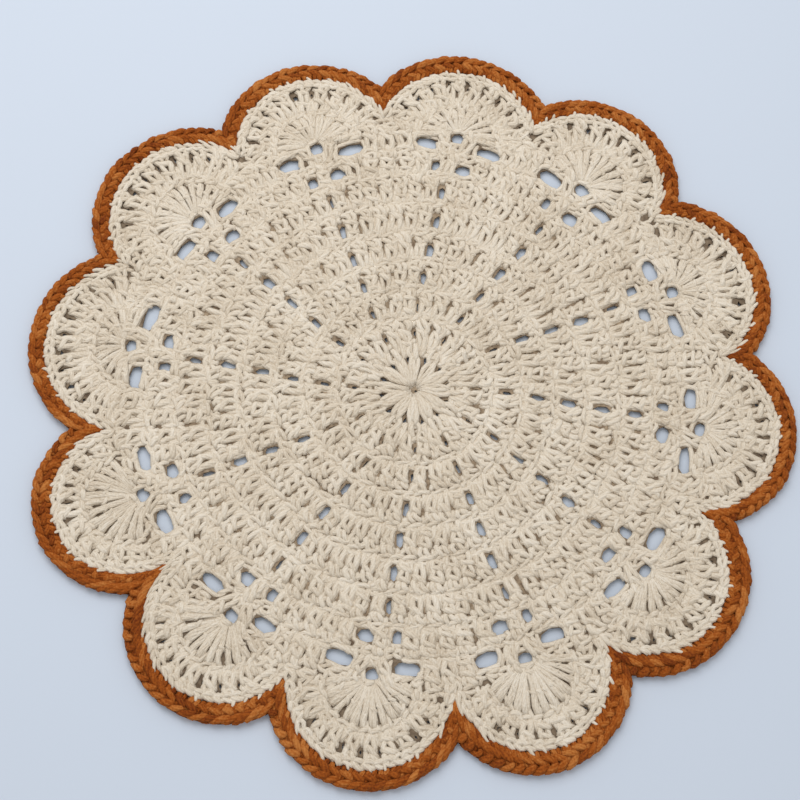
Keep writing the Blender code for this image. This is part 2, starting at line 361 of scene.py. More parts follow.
# both stop beside the flower's holes; beside takes how far to the side, and how far out
start, end = BEARING + beside(11.4, 122.4), NEXT_BEARING - beside(9.8, 122.8)
bearings, width = spread_between(start, end, 5, 123.0)
eight = radial(bearings, EIGHT_LOW, width * 0.95, bearings, EIGHT_TOP, width * 1.05)
lone = radial(BEARING + beside(2.6, 122.6), EIGHT_LOW, 6.4,
              BEARING + beside(1.2, 128.0), EIGHT_TOP, 6.6)
start, end = BEARING + beside(22.4, 136.0), NEXT_BEARING - beside(23.8, 136.0)
bearings, width = spread_between(start, end, 3, 138.0)
nine = radial(bearings, EIGHT_TOP, width * 0.95, bearings, NINE_TOP, width * 1.1)
left, right = (radial(BEARING + side * beside(2.0, 130.0), 129.4, 5.4,
                      BEARING + side * beside(9.6, 145.0), 146.5, 8.0) for side in (1, -1))
print("round 8:", len(eight.base) + len(lone.base),
      "round 9:", len(nine.base) + len(left.base) + len(right.base))

# %% [markdown]
# Each scallop is a fan: thirteen tall stitches spread from one hole, like the ribs of a
# hand fan. The last cream round is fewer, broader stitches with a slit between each two,
# so the fabric opens again. Towards the valleys it runs into the neighbouring scallop and
# is cut short at the line halfway between the two.
# %% Fans and the outer round
FAN_COUNT = 13
FAN_SPREAD = 84.0  # how far round the fan goes, degrees to each side
FAN_HOLE = 144.2  # its hole's distance from the rounds' middle
FAN_TOP = 21.0  # its tops' distance from the scallop's centre
FOOT_BOW, FOOT_REACH = 1.8, 3.6  # the bow of feet: its depth and half its width
FOOT_WIDTH, TOP_WIDTH = 1.2, 5.6  # a fan stitch's widths


def fan_stitches(number):
    """One scallop's fan: feet on a short bow at its hole, tops on a circle about its centre."""
    outward = direction(BEARING[number])
    spread = np.linspace(-FAN_SPREAD, FAN_SPREAD, FAN_COUNT)
    share = spread[:, None] / FAN_SPREAD
    foot = outward * (FAN_HOLE - FOOT_BOW * share ** 2) - clockwise(outward) * (FOOT_REACH * share)
    bearings = BEARING[number] + spread
    spokes = radial(bearings, 1.0, FOOT_WIDTH, bearings, FAN_TOP, TOP_WIDTH, CENTRES[number])
    return patches(foot, spokes.top, spokes.base_step, spokes.top_step)


CROWN_SPREAD = 92.0  # how far round the outer round goes, degrees to each side
CROWN_INSET = 3.2  # its tops' distance from the rim
CROWN_FOOT, CROWN_TOP = 6.4, 10.0  # its stitches' widths
VALLEY_GAP = 1.2  # millimetres that stitches stay off the line between two scallops
SHORTEST = 0.3  # a stitch with less than this share of its height left isn't worked


def cut_at(group, bearing, side):
    """Stitches pulled back to the line at a bearing where they pass it; short ones go.

    With low and high the distances past the line of a stitch's base and top, the part
    that stays is low / (low - high)."""
    across = -clockwise(direction(bearing)) * side
    low, high = group.base @ across + VALLEY_GAP, group.top @ across + VALLEY_GAP
    share = np.where(high > 0, np.clip(low / np.minimum(low - high, -1e-6), 0.0, 1.0), 1.0)[:, None]
    top = group.base + (group.top - group.base) * share
    top_step = group.base_step + (group.top_step - group.base_step) * share
    return chosen(group._replace(top=top, top_step=top_step), share[:, 0] > SHORTEST)


def outer_stitches(number):
    """One scallop's outer round, a broad stitch between each two slits, cut at both valleys."""
    pitch = math.degrees(SLIT_PITCH / RADIUS[number])
    each_side = int(CROWN_SPREAD / pitch)
    bearings = BEARING[number] + (np.arange(-each_side, each_side) + 0.5) * pitch
    group = radial(bearings, FAN_TOP, CROWN_FOOT,
                   bearings, RADIUS[number] - CROWN_INSET, CROWN_TOP, CENTRES[number])
    group = cut_at(group, (BEARING[number] + NEXT_BEARING[number]) / 2, 1.0)
    return cut_at(group, (BEARING[number] + BEARING[number - 1] - 360.0 * (number == 0)) / 2, -1.0)


fan = all_round(fan_stitches)
crown = all_round(outer_stitches)
print("fan stitches:", len(fan.base), "outer round stitches:", len(crown.base))

# %% [markdown]
# Now the yarn itself. A strand is drawn once, as a handful of points on a patch: how far
# sideways, how far up the stitch, how high above the table, and how thick it is there. A
# smooth curve runs through them. Because every stitch of a kind uses the same drawing,
# one matrix product lays that strand in all of them. A little seeded unevenness is
# added to each point, since no two hand-worked stitches are pulled equally tight.
# %% Strands laid on patches
YARN = 1.42  # radius of the yarn, millimetres
Strands = namedtuple("Strands", "paths radii tones")


def spline_weights(points, samples):
    """Catmull-Rom weights: row j holds what each drawn point counts for at sample j."""
    weights = np.zeros((samples, points))
    place = np.linspace(0.0, points - 1.0, samples)
    first = np.minimum(place.astype(int), points - 2)
    t = place - first
    terms = (-0.5 * t + t ** 2 - 0.5 * t ** 3, 1.0 - 2.5 * t ** 2 + 1.5 * t ** 3,
             0.5 * t + 2.0 * t ** 2 - 1.5 * t ** 3, -0.5 * t ** 2 + 0.5 * t ** 3)
    for offset, term in zip((-1, 0, 1, 2), terms):
        np.add.at(weights, (np.arange(samples), np.clip(first + offset, 0, points - 1)), term)
    return weights


def shaken(group, amount=0.75):
    """The same patches moved a little, as hand work is uneven: feet 0.6 as much as tops."""
    return group._replace(base=group.base + chance.normal(0.0, amount * 0.6, group.base.shape),
                          top=group.top + chance.normal(0.0, amount, group.top.shape))


PINCH_AT, PINCH_SPREAD = 0.68, 0.2  # where up the stitch a pinch is, and over how much of it
WOBBLE_SHAPE = (1.0, 1.0, 0.45)  # yarn wanders less in height than sideways


def lay(group, drawing, samples=6, wobble=0.34, thick=1.0, pinch=0.0):
    """Strands of one kind on every patch of a group.

    place(s, t, q) = (1 - t) (base + s base_step) + t (top + s top_step) + q outward,
    where outward is square to top_step, and q is 0 in a drawing of four columns. The height
    above the table is drawn too. A pinch draws the stitch in at two thirds of its height,
    which parts it from its neighbours."""
    drawing = np.array(drawing, dtype=float)
    if drawing.shape[1] == 4:
        drawing = np.insert(drawing, 2, 0.0, axis=1)
    count = len(group.base)
    s, t, q, z = (column[None, :, None] for column in drawing.T[:4])
    s = s * (1.0 - pinch * np.exp(-((t - PINCH_AT) / PINCH_SPREAD) ** 2))
    outward = unit(-clockwise(group.top_step))
    low = group.base[:, None] + s * group.base_step[:, None]
    high = group.top[:, None] + s * group.top_step[:, None]
    flat = (1 - t) * low + t * high + q * outward[:, None]
    points = np.concatenate([flat, np.broadcast_to(z, flat.shape[:2] + (1,))], axis=2)
    points = points + chance.normal(0.0, wobble, points.shape) * np.array(WOBBLE_SHAPE)
    weights = spline_weights(len(drawing), samples)
    paths = np.einsum("mk,nkc->nmc", weights, points)
    radii = (weights @ drawing[:, 4])[None] * YARN * thick * chance.normal(1.0, 0.11, (count, 1))
    return Strands(paths, radii, chance.uniform(0.0, 1.0, count))


def lay_all(group, drawings, samples, **how):
    """Every drawing of a list laid on the same patches."""
    return [lay(group, drawing, samples, **how) for drawing in drawings]


# %% [markdown]
# A tube has six sides here, which is enough for yarn under three millimetres thick. At
# each point of its path the sideways direction is square to the path and to the upright,
# and the tube's own up direction is square to both, so the tube never twists. The ends
# are closed. Each strand carries a UV map: once round across, and centimetres lengthwise,
# so that a pattern can wind along the yarn. It also carries a tone of its own.
# %% Sweeping tubes
SIDES = 6
MM = 0.001
LOWEST = 0.05  # no point comes nearer to the table, millimetres


def tube_walls(paths, radii, squash):
    """Rings of points: path + radius (cos a * side + squash * sin a * up), a = 0 to 360 degrees."""
    angle = 2 * np.pi * np.arange(SIDES)[:, None] / SIDES
    tangent = unit(np.gradient(paths, axis=1))
    side = np.cross(tangent, [0.0, 0.0, 1.0])
    side /= np.maximum(np.linalg.norm(side, axis=2, keepdims=True), 1e-6)
    up = np.cross(side, tangent)
    return paths[:, :, None] + radii[:, :, None, None] * (
        np.cos(angle) * side[:, :, None] + squash * np.sin(angle) * up[:, :, None])


def tube_faces(start, count, rings):
    """Corner numbers of the tubes' four-sided wall faces and end caps."""
    index = start + np.arange(count * rings * SIDES).reshape(count, rings, SIDES)
    ahead = np.roll(index, -1, axis=2)
    wall = np.stack([index[:, :-1], index[:, 1:], ahead[:, 1:], ahead[:, :-1]], axis=-1)
    caps = [index[:, 0, corners] for corners in ([0, 1, 2, 3], [0, 3, 4, 5])]
    caps += [index[:, -1, corners] for corners in ([3, 2, 1, 0], [5, 4, 3, 0])]
    return wall.reshape(-1, 4), np.concatenate(caps)


def tube_uvs(paths):
    """UV of each wall face's corners: u once round the strand, v its length in centimetres."""
    steps = np.diff(paths, axis=1, prepend=paths[:, :1])
    v = np.cumsum(np.linalg.norm(steps, axis=2), axis=1)[:, :, None] / 10.0
    u, v = np.broadcast_arrays(np.arange(SIDES) / SIDES, v)
    corners = [(u[:, :-1], v[:, :-1]), (u[:, 1:], v[:, 1:]), (u[:, 1:] + 1 / SIDES, v[:, 1:]),
               (u[:, :-1] + 1 / SIDES, v[:, :-1])]
    return np.stack([np.stack(corner, axis=-1) for corner in corners], axis=-2).reshape(-1, 2)


def placed(name, data):
    """A new object in the scene, at the origin, unturned and unscaled."""
    thing = bpy.data.objects.new(name, data)
    bpy.context.scene.collection.objects.link(thing)
    return thing


def tubes(name, groups, material, squash=0.72):
    """One object of swept tubes from groups of strands, kept clear of the openings."""
    vertices, faces, uvs, tones = [], [], [], []
    start = 0
    for paths, radii, tone in groups:
        count, rings = paths.shape[:2]
        clearance = radii * chance.uniform(0.5, 1.15, (count, 1))
        flat = step_aside(paths[..., :2].reshape(-1, 2), clearance.ravel())
        paths = np.concatenate([flat.reshape(count, rings, 2), paths[..., 2:]], axis=2)
        wall, caps = tube_faces(start, count, rings)
        vertices.append(tube_walls(paths, radii, squash).reshape(-1, 3))
        faces += [wall, caps]
        uvs += [tube_uvs(paths), np.zeros((caps.size, 2))]
        tones.append(np.repeat(tone, rings * SIDES))
        start += count * rings * SIDES
    spots = np.concatenate(vertices)
    spots[:, :2] -= MIDDLE
    spots[:, 2] = np.maximum(spots[:, 2], LOWEST)
    mesh = bpy.data.meshes.new(name)
    mesh.from_pydata(spots * MM, [], np.concatenate(faces))
    uv_map = mesh.uv_layers.new(name="UVMap")
    uv_map.data.foreach_set("uv", np.concatenate(uvs).astype(np.float32).ravel())
    tone_of = mesh.attributes.new("tone", "FLOAT", "POINT")
    tone_of.data.foreach_set("value", np.concatenate(tones).astype(np.float32))
    mesh.polygons.foreach_set("use_smooth", np.ones(len(mesh.polygons), dtype=bool))
    mesh.update()
    mesh.materials.append(material)
    print(name, "triangles:", 2 * len(mesh.polygons), "top at", np.round(spots[:, 2].max(), 2), "mm")
    return placed(name, mesh)


# %% [markdown]
# Cotton yarn is matt. It is several plies wound round each other, which shows as fine
# slanting ridges, and hand-dyed or natural cotton is never quite one colour. The shader
# arithmetic is written with a small class, so that a formula reads as a formula.
# %% Shader arithmetic
class Value:
    """A socket that can be used in sums: each operator adds a Math node."""

    def __init__(self, graph, socket):
        self.graph, self.socket = graph, socket

    def math(self, operation, *others):
        inputs = {number: other for number, other in enumerate((self, *others))}
        return self.graph.node("ShaderNodeMath", {"operation": operation}, inputs)

    def clamped(self):
        """Kept between 0 and 1."""
        return self.math("MAXIMUM", 0.0).math("MINIMUM", 1.0)

    def __add__(self, other):
        return self.math("ADD", other)

    def __mul__(self, other):
        return self.math("MULTIPLY", other)

    def __sub__(self, other):
        return self.math("SUBTRACT", other)

    def __rsub__(self, other):
        return self.math("MULTIPLY", -1.0) + other

    __radd__ = __add__
    __rmul__ = __mul__


class Graph:
    """The node tree of one material."""

    def __init__(self, name):
        self.material = bpy.data.materials.new(name)
        self.material.use_nodes = True
        self.tree = self.material.node_tree
        self.shader = self.tree.nodes["Principled BSDF"]

    def connect(self, value, socket):
        if isinstance(value, Value):
            self.tree.links.new(value.socket, socket)
        else:
            socket.default_value = value

    def node(self, kind, settings=None, inputs=None, output=0):
        """Any node: its type, its settings and the values or links of its sockets."""
        made = self.tree.nodes.new(kind)
        for name, setting in (settings or {}).items():
            setattr(made, name, setting)
        for name, value in (inputs or {}).items():
            self.connect(value, made.inputs[name])
        return Value(self, made.outputs[output])

    def place(self):
        """Where on the object a point is."""
        return self.node("ShaderNodeTexCoord", output=3)

    def noise(self, scale, detail):
        """A soft random pattern, with scale in waves to a metre."""
        sockets = {"Vector": self.place(), "Scale": scale, "Detail": detail}
        return self.node("ShaderNodeTexNoise", inputs=sockets)

    def mix(self, factor, first, second):
        """A colour between two colours."""
        return self.node("ShaderNodeMix", {"data_type": "RGBA"}, {0: factor, 6: first, 7: second}, 2)

    def finish(self, sockets):
        """The material, with values or links on the shader's own sockets."""
        for name, value in sockets.items():
            self.connect(value, self.shader.inputs[name])
        return self.material


# %% [markdown]
# One recipe makes both yarns. The colour moves between a dark and a light shade with
# three things: the strand's own tone, a soft cloudiness some centimetres wide, and a fine
# fleck. The plies are a wave that winds round the strand as it runs along it; their grooves are also
# painted a little darker, as painted shade.
# %% Two cotton yarns
PLIES, PLY_RATE = 5.0, 2.3  # ridges round a strand, and how many pass in a centimetre of it
PLY_DEPTH = 0.5  # millimetres


def cotton(name, dark, middle, light, uneven):
    """A yarn material. height = |sin(pi (5 u + 2.3 v))| for the plies, plus fine noise."""
    graph = Graph(name)
    uv = graph.node("ShaderNodeUVMap", {"uv_map": "UVMap"})
    across, along = (graph.node("ShaderNodeSeparateXYZ", {}, {0: uv}, axis) for axis in (0, 1))
    plies = ((across * PLIES + along * PLY_RATE) * math.pi).math("SINE").math("ABSOLUTE")
    tone = graph.node("ShaderNodeAttribute", {"attribute_name": "tone"}, output=2)
    cloud, fleck = graph.noise(38.0, 3.0), graph.noise(1100.0, 2.0)
    # plies * 0.20 paints the grooves between the plies darker than their ridges: painted shade
    shade = tone * uneven + cloud * 0.8 + fleck + plies * 0.20 - 0.55 - uneven / 2
    low = graph.mix((shade * 2.0).clamped(), dark, middle)
    colour = graph.mix((shade * 2.0 - 1.0).clamped(), low, light)
    bump = graph.node("ShaderNodeBump", inputs={
        "Strength": 0.4, "Distance": PLY_DEPTH * MM, "Height": plies * 0.8 + fleck * 0.7})
    return graph.finish({
        "Base Color": colour, "Normal": bump, "Roughness": 0.92, "Specular IOR Level": 0.18,
        "Sheen Weight": 0.35, "Sheen Roughness": 0.6, "Sheen Tint": light})


cream = cotton("cream_yarn", dark=(0.55, 0.46, 0.35, 1), middle=(0.72, 0.64, 0.53, 1),
               light=(0.83, 0.77, 0.68, 1), uneven=0.30)
rust = cotton("rust_yarn", dark=(0.13, 0.022, 0.002, 1), middle=(0.33, 0.082, 0.009, 1),
              light=(0.52, 0.20, 0.05, 1), uneven=0.60)
print("yarns made:", cream.name, rust.name)

# %% [markdown]
# A tall stitch seen from the front: its legs come out from under the chain of the round
# below and lean apart, the yarn wraps across them, and short loops close it at the top.
# Some stitches are drawn tighter and show two wraps with crossed legs between them. Two
# stout strands run along the back of the cloth, and short ones fill in between stitches
# that share a wedge. On top lies a link of chain, with one loop in front, one behind.
# %% The strands of a tall stitch
# sideways, up the stitch, height in millimetres and thickness; where there are five
# numbers, the third is how many millimetres the strand lies past the stitch's top
FRONT = [
    [(-.1, -.02, 1.3, .8), (-.17, .15, 2.1, .95), (-.22, .32, 3.2, 1),
     (-.26, .5, 3.2, 1), (-.28, .72, 2.6, .85)],
    [(0, .06, 1.5, .7), (.01, .17, 2.3, .95), (.01, .27, 2.7, .95), (0, .35, 1.7, .7)],
    [(.1, -.02, 1.3, .8), (.16, .15, 2.1, .95), (.23, .32, 3.2, 1),
     (.27, .51, 3.2, 1), (.27, .73, 2.6, .9)],
    [(-.44, .76, 2.2, .8), (-.24, .7, 3.2, 1), (.02, .61, 3.6, 1.05),
     (.26, .52, 3.3, 1), (.42, .46, 2.1, .8)],
    [(-.52, .97, 2.3, .85), (-.36, .93, 3.1, 1), (-.2, .85, 3.5, 1.05),
     (-.08, .75, 3.3, 1), (0, .63, 2.5, .85)],
    [(-.16, 1.03, 2.3, .85), (.04, .97, 3.1, 1), (.22, .88, 3.4, 1.05),
     (.32, .77, 3.2, 1), (.3, .65, 2.5, .85)],
    [(.47, 1, 2.3, .85), (.34, .92, 3, .95), (.16, .82, 3.1, 1), (.02, .76, 2.7, .9)],
]
KNOTTED = [
    [(-.16, -.02, 1.3, .8), (-.24, .14, 2.1, 1), (-.26, .29, 3.1, 1), (-.2, .43, 2.4, .85)],
    [(.14, -.02, 1.3, .8), (.22, .14, 2.1, 1), (.25, .29, 3.1, 1), (.26, .42, 2.4, .85)],
    [(-.48, .46, 2.2, .8), (-.2, .4, 3.5, 1), (.16, .34, 3.5, 1), (.46, .3, 2.2, .8)],
    [(-.02, .36, 2.3, .8), (-.18, .5, 3.2, 1), (-.3, .65, 3.2, 1), (-.34, .8, 2.4, .85)],
    [(.06, .34, 2.3, .8), (.22, .48, 3.1, 1), (.3, .62, 3.1, 1), (.28, .78, 2.4, .85)],
    [(-.5, .8, 2.2, .8), (-.18, .73, 3.5, 1), (.18, .67, 3.5, 1), (.48, .62, 2.2, .8)],
    [(-.4, 1.02, 2.2, .85), (-.2, .98, 3.2, 1.05), (-.02, .87, 3.3, 1.05), (-.06, .72, 2.3, .85)],
    [(.06, 1.04, 2.2, .85), (.26, .98, 3.2, 1.05), (.34, .86, 3.3, 1.05), (.18, .73, 2.3, .85)],
]
BACK = [
    [(-.08, -.06, 1.7, .9), (-.24, .12, 1.8, 1.3), (-.27, .36, 1.8, 1.35),
     (-.26, .65, 1.8, 1.4), (-.05, 1, 1.8, .9)],
    [(.08, -.04, 1.7, .9), (.25, .12, 1.8, 1.3), (.28, .36, 1.8, 1.35),
     (.25, .65, 1.8, 1.4), (.02, .98, 1.8, .9)],
]
BETWEEN_LOW = [(.48, .03, 1.8, .8), (.5, .16, 2.5, 1.05), (.5, .36, 2.5, 1.05), (.5, .56, 1.7, .9)]
BETWEEN_HIGH = [(.5, .76, 1.8, .9), (.5, .85, 2.4, 1.1), (.5, .96, 2.5, 1.1), (.48, 1.05, 1.8, .9)]
CHAIN = [
    [(-.58, 1, .1, 2, .8), (-.28, 1, .2, 2.8, .95), (.08, 1, .8, 3, .95), (.44, 1, 2.3, 2.1, .8)],
    [(-.46, 1, 2.5, 1.9, .8), (-.12, 1, 3.6, 2.6, .95), (.22, 1, 3.3, 2.8, .95), (.56, 1, 2, 2, .8)],
]


FILLED = 0.85  # the share of places between stitches that get short strands


def tall_stitches(group, run=0, pinch=0.07, thick=1.0, knots=0.4):
    """All the strands of tall stitches without their chain.

    run is how many stand side by side, and knots is the share of stitches whose strands
    are twisted tighter."""
    group = shaken(group)
    count = len(group.base)
    twisted = chance.random(count) < knots
    made = lay_all(chosen(group, ~twisted), FRONT, 6, thick=thick, pinch=pinch)
    made += lay_all(chosen(group, twisted), KNOTTED, 5, thick=thick, pinch=pinch)
    made += lay_all(group, BACK, 5, thick=thick, pinch=pinch)
    if run > 1:
        inside = chosen(group, (np.arange(count) % run > 0) & (chance.random(count) < FILLED))
        made += lay_all(inside, (BETWEEN_LOW, BETWEEN_HIGH), 4)
    return made


def chain(group, thick=1.0):
    """The chain along a round's top."""
    return lay_all(group, CHAIN, 5, thick=thick)


print("strands of a tall stitch:", len(FRONT + BACK), "of a tighter one:", len(KNOTTED + BACK))

# %% [markdown]
# The middle is worked the same way, but all its stitches start from one tiny ring, so
# they are squeezed to petals: plain ribs that touch at their feet and swell outwards.
# The fans are ribs too, longer and straighter, because thirteen of them share one hole.
# %% Petals and ribs
PETAL = [
    [(-.34, 0, 2.7, .55), (-.32, .22, 3.1, .8), (-.35, .48, 3.4, 1),
     (-.3, .74, 3.3, 1.1), (-.14, .98, 2.3, .9)],
    [(.34, 0, 2.7, .55), (.33, .24, 3.2, .8), (.34, .5, 3.4, 1), (.27, .76, 3.2, 1.1), (.12, 1, 2.3, .9)],
    [(.02, .02, 2.8, .5), (-.04, .2, 3.4, .75), (.03, .42, 3.7, .95),
     (0, .64, 3.6, 1), (-.06, .86, 2.6, .8)],
    [(-.2, .78, 2.2, .9), (-.36, .92, 2.9, 1.1), (-.36, 1.14, 3, 1.1), (-.22, 1.36, 2.1, .9)],
    [(.06, .8, 2.2, .9), (.08, .96, 3, 1.1), (.04, 1.16, 3.1, 1.1), (-.04, 1.38, 2.1, .9)],
    [(.36, .9, 2.1, .9), (.44, 1.02, 2.9, 1.1), (.4, 1.2, 2.9, 1.1), (.34, 1.4, 2.1, .9)],
]
RIB = [
    [(-.1, 0, 1.8, .6), (-.14, .22, 3.1, .75), (-.15, .5, 3.5, .85),
     (-.17, .75, 3.4, .92), (-.26, .98, 2.2, .85)],
    [(.12, 0, 1.8, .6), (.13, .22, 3.1, .75), (.15, .5, 3.5, .85),
     (.18, .75, 3.5, .92), (.1, .99, 2.3, .85)],
    [(.02, .55, 2.3, .6), (.02, .68, 3.5, .8), (-.02, .84, 3.6, .9), (-.1, 1, 2.3, .85)],
]
RIB_WRAP = [(-.46, .66, 2.4, .7), (-.12, .6, 3.9, .85), (.16, .55, 3.9, .85), (.46, .5, 2.3, .7)]


def ribs(group, drawings, amount=0.4, thick=0.9):
    """Ribs and their two strands behind."""
    group = shaken(group, amount)
    made = lay_all(group, drawings, 6, wobble=0.28, thick=thick)
    return made + lay_all(group, BACK, 5, wobble=0.2, thick=0.7)


print("strands of a petal:", len(PETAL + BACK), "of a rib:", len(RIB + BACK) + 1)

# %% [markdown]
# Where there is no stitch under it, the chain runs bare across the hole. Each span is a
# few links in a row between two points, so it can use the same chain drawing on patches
# that are laid along a line.
# %% Bare chains
LINK_HEIGHT, LINK_OVERLAP = 4.0, 1.08  # a link is a little longer than its share of a span


def span(start, end, count):
    """Patches in a row from start points to end points, count of them to a span."""
    x = (np.arange(count) + 0.5) / count
    run = end - start
    away = unit(clockwise(run))
    middle = start[:, None] + run[:, None] * x[:, None]
    step = np.repeat(-run[:, None] / count * LINK_OVERLAP, count, axis=1)
    return patches(middle - away[:, None] * LINK_HEIGHT, middle, step, step)


def spot(side_mm, distance):
    """The twelve points at a distance, side_mm counter-clockwise of each scallop's bearing."""
    return direction(BEARING + beside(side_mm, distance)) * distance


# each span's start and end, sideways and outwards in millimetres, and its links
BARE = [
    (-24.5, 140.4, -8.4, 142.2, 3), (8.4, 142.2, 24.0, 140.4, 3), (-2.0, 144.2, 2.0, 144.2, 1),
    (4.2, 128.2, 13.0, 128.2, 2), (-11.0, 128.2, -1.0, 128.2, 2),
]
bare = joined(*(span(spot(a, b), spot(c, d), count) for a, b, c, d, count in BARE))
print("bare links:", len(bare.base))

# %% [markdown]
# Each hole of a flower has yarn on all its sides. The run of that yarn is a rounded
# square, laid as four strands whose ends dip under each other. Along the two long sides
# of each eyelet one strand stands like a post, and one lies tucked in at each end.
# %% Yarn round the openings
TUCKED = [[(.1, low, 1.9, 1), (-.05, low + .09, 2.7, 1.2),
           (.05, low + .18, 2.7, 1.2), (-.1, low + .27, 1.9, 1)] for low in (-.2, .92)]
POST = [[(side * .22, 0, 1.9, .8), (side * .5, .25, 2.7, .9),
         (side * .52, .75, 2.7, .9), (side * .22, 1, 1.9, .8)] for side in (-1, 1)]
ARC_REACH, DIP = 0.60, 0.8  # how far each arc goes to both sides, and how far its ends dip


def hole_yarn(holes, height, thick, arcs=4, samples=6):
    """Rounded squares round openings, four arcs to each.

    Along and across, an arc's points lie at (half size + yarn) times the cosine and sine of
    the angle, each of these to the power of three quarters."""
    middle, along, size = (np.repeat(part, arcs, axis=0) for part in holes)
    across = -clockwise(along)
    count = len(middle)
    place = np.linspace(-1.0, 1.0, samples)
    start = np.tile(np.arange(arcs), count // arcs) + chance.normal(0.0, 0.12, count)
    angle = 2 * np.pi / arcs * (start[:, None] + place * ARC_REACH)
    reach = YARN * thick + 0.9 * np.abs(place) ** 3 + chance.normal(0.0, 0.25, (count, 1))
    shares = [np.sign(part) * np.abs(part) ** 0.75 for part in (np.cos(angle), np.sin(angle))]
    flat = middle[:, None] + along[:, None] * (shares[0] * (size[:, :1] + reach))[..., None]
    flat = flat + across[:, None] * (shares[1] * (size[:, 1:] + reach))[..., None]
    z = height - DIP * np.abs(place[None]) ** 3 + chance.normal(0.0, 0.12, (count, samples))
    radii = YARN * thick * chance.normal(1.0, 0.06, (count, 1)) * (1.0 - 0.2 * place ** 4)
    return Strands(np.concatenate([flat, z[..., None]], axis=2), radii, chance.uniform(0.0, 1.0, count))


round_openings = [hole_yarn(FLOWER_HOLES, 2.3, 0.9)]
for number in range(2, 8):
    round_openings += lay_all(eyelet_sides(number), POST, 5, wobble=0.2)
    round_openings += lay_all(eyelet_sides(number), TUCKED, 4, wobble=0.2)
print("strands beside openings:", sum(len(group.radii) for group in round_openings))

# %% [markdown]
# Between the flowers, the fans and the valleys the rounds don't meet evenly, and there
# the maker's yarn wanders. Short strands are scattered over that ring of the mat, each
# roughly pointing outwards, wherever they are clear of openings and of the fans.
# %% Wandering yarn
WANDER = [(-.15, -.1, 1.9, .9), (.15, .3, 2.7, 1.05), (-.1, .7, 2.7, 1.05), (.1, 1.1, 1.9, .9)]


VALLEYS_FROM, FANS_FROM = 124.0, 138.0  # how far out the valleys and the fans begin
RIM_CLEAR, FAN_CLEAR = 3.0, 17.0  # kept free inside the rim and round a fan's centre


def wandering(step_mm=4.8, low_mm=118.0, high_mm=166.0, length=6.5, width=2.4):
    """Short patches at jittered places on rings: about one to each step_mm square."""
    rings = np.arange(low_mm, high_mm, step_mm * 1.1)
    counts = (2 * np.pi * rings / step_mm).astype(int)
    distance = np.repeat(rings, counts) + chance.uniform(-1.4, 1.4, counts.sum())
    bearing = np.concatenate([np.arange(count) * 360.0 / count for count in counts])
    place = direction(bearing + chance.uniform(-0.6, 0.6, len(bearing))) * distance[:, None]
    away = np.linalg.norm(place[:, None] - CENTRES, axis=2)
    owner = np.argmin(away, axis=1)
    away = away.min(axis=1)
    within = (away < RADIUS[owner] - RIM_CLEAR) | (distance < VALLEYS_FROM)
    off_fans = (away > FAN_CLEAR) | (distance < FANS_FROM)
    keep = within & off_fans & (rim_share(place, 1.0)[0] > 1.0)
    heading = direction(bearing + chance.normal(0.0, 24.0, len(bearing)))[keep]
    half, step = heading * length / 2, clockwise(heading) * width
    return patches(place[keep] - half, place[keep] + half, step, step)


wander = wandering()
print("wandering strands:", len(wander.base))

# %% [markdown]
# The last cream round ends in a chain that lies on its side, against the edging: two
# loops to a link, and a third strand under them that keeps the seam with the rust closed.
# %% The outer chain
EDGE = [
    [(-.66, 1, -.6, 2.4, .85), (-.34, 1, -1.9, 3.4, 1), (.04, 1, -2.1, 3.8, 1.05),
     (.4, 1, -1.3, 3.4, 1), (.66, 1, .1, 2.6, .85)],
    [(-.62, 1, .6, 2.4, .85), (-.3, 1, .9, 3.3, 1), (.08, 1, .5, 3.7, 1.05),
     (.44, 1, -.4, 3.3, 1), (.68, 1, -1.2, 2.4, .85)],
    [(-.6, 1, -.8, 1.6, 1), (-.2, 1, .2, 1.6, 1.1), (.25, 1, -.2, 1.6, 1.1), (.62, 1, -.8, 1.6, 1)],
]
LINK_PITCH = 5.0  # millimetres of arc to a link
EDGE_FOOT, EDGE_MIDDLE, EDGE_TOP = 6.0, 1.4, 2.4  # distances inside the rim
EDGE_WIDTH = 4.8  # a link's width at its foot


def edge_links(number):
    """Links of chain along one scallop's arc, about one to each link pitch."""
    low, high = (ends[number] for ends in arc_ends(RADIUS - EDGE_MIDDLE))
    length = math.radians(high - low) * RADIUS[number]
    count = int(round(length / LINK_PITCH))
    bearings = low + (np.arange(count) + 0.5) * (high - low) / count
    return radial(bearings, RADIUS[number] - EDGE_FOOT, EDGE_WIDTH,
                  bearings, RADIUS[number] - EDGE_TOP, length / count, CENTRES[number])


crown_edge = all_round(edge_links)
print("links of the outer chain:", len(crown_edge.base))

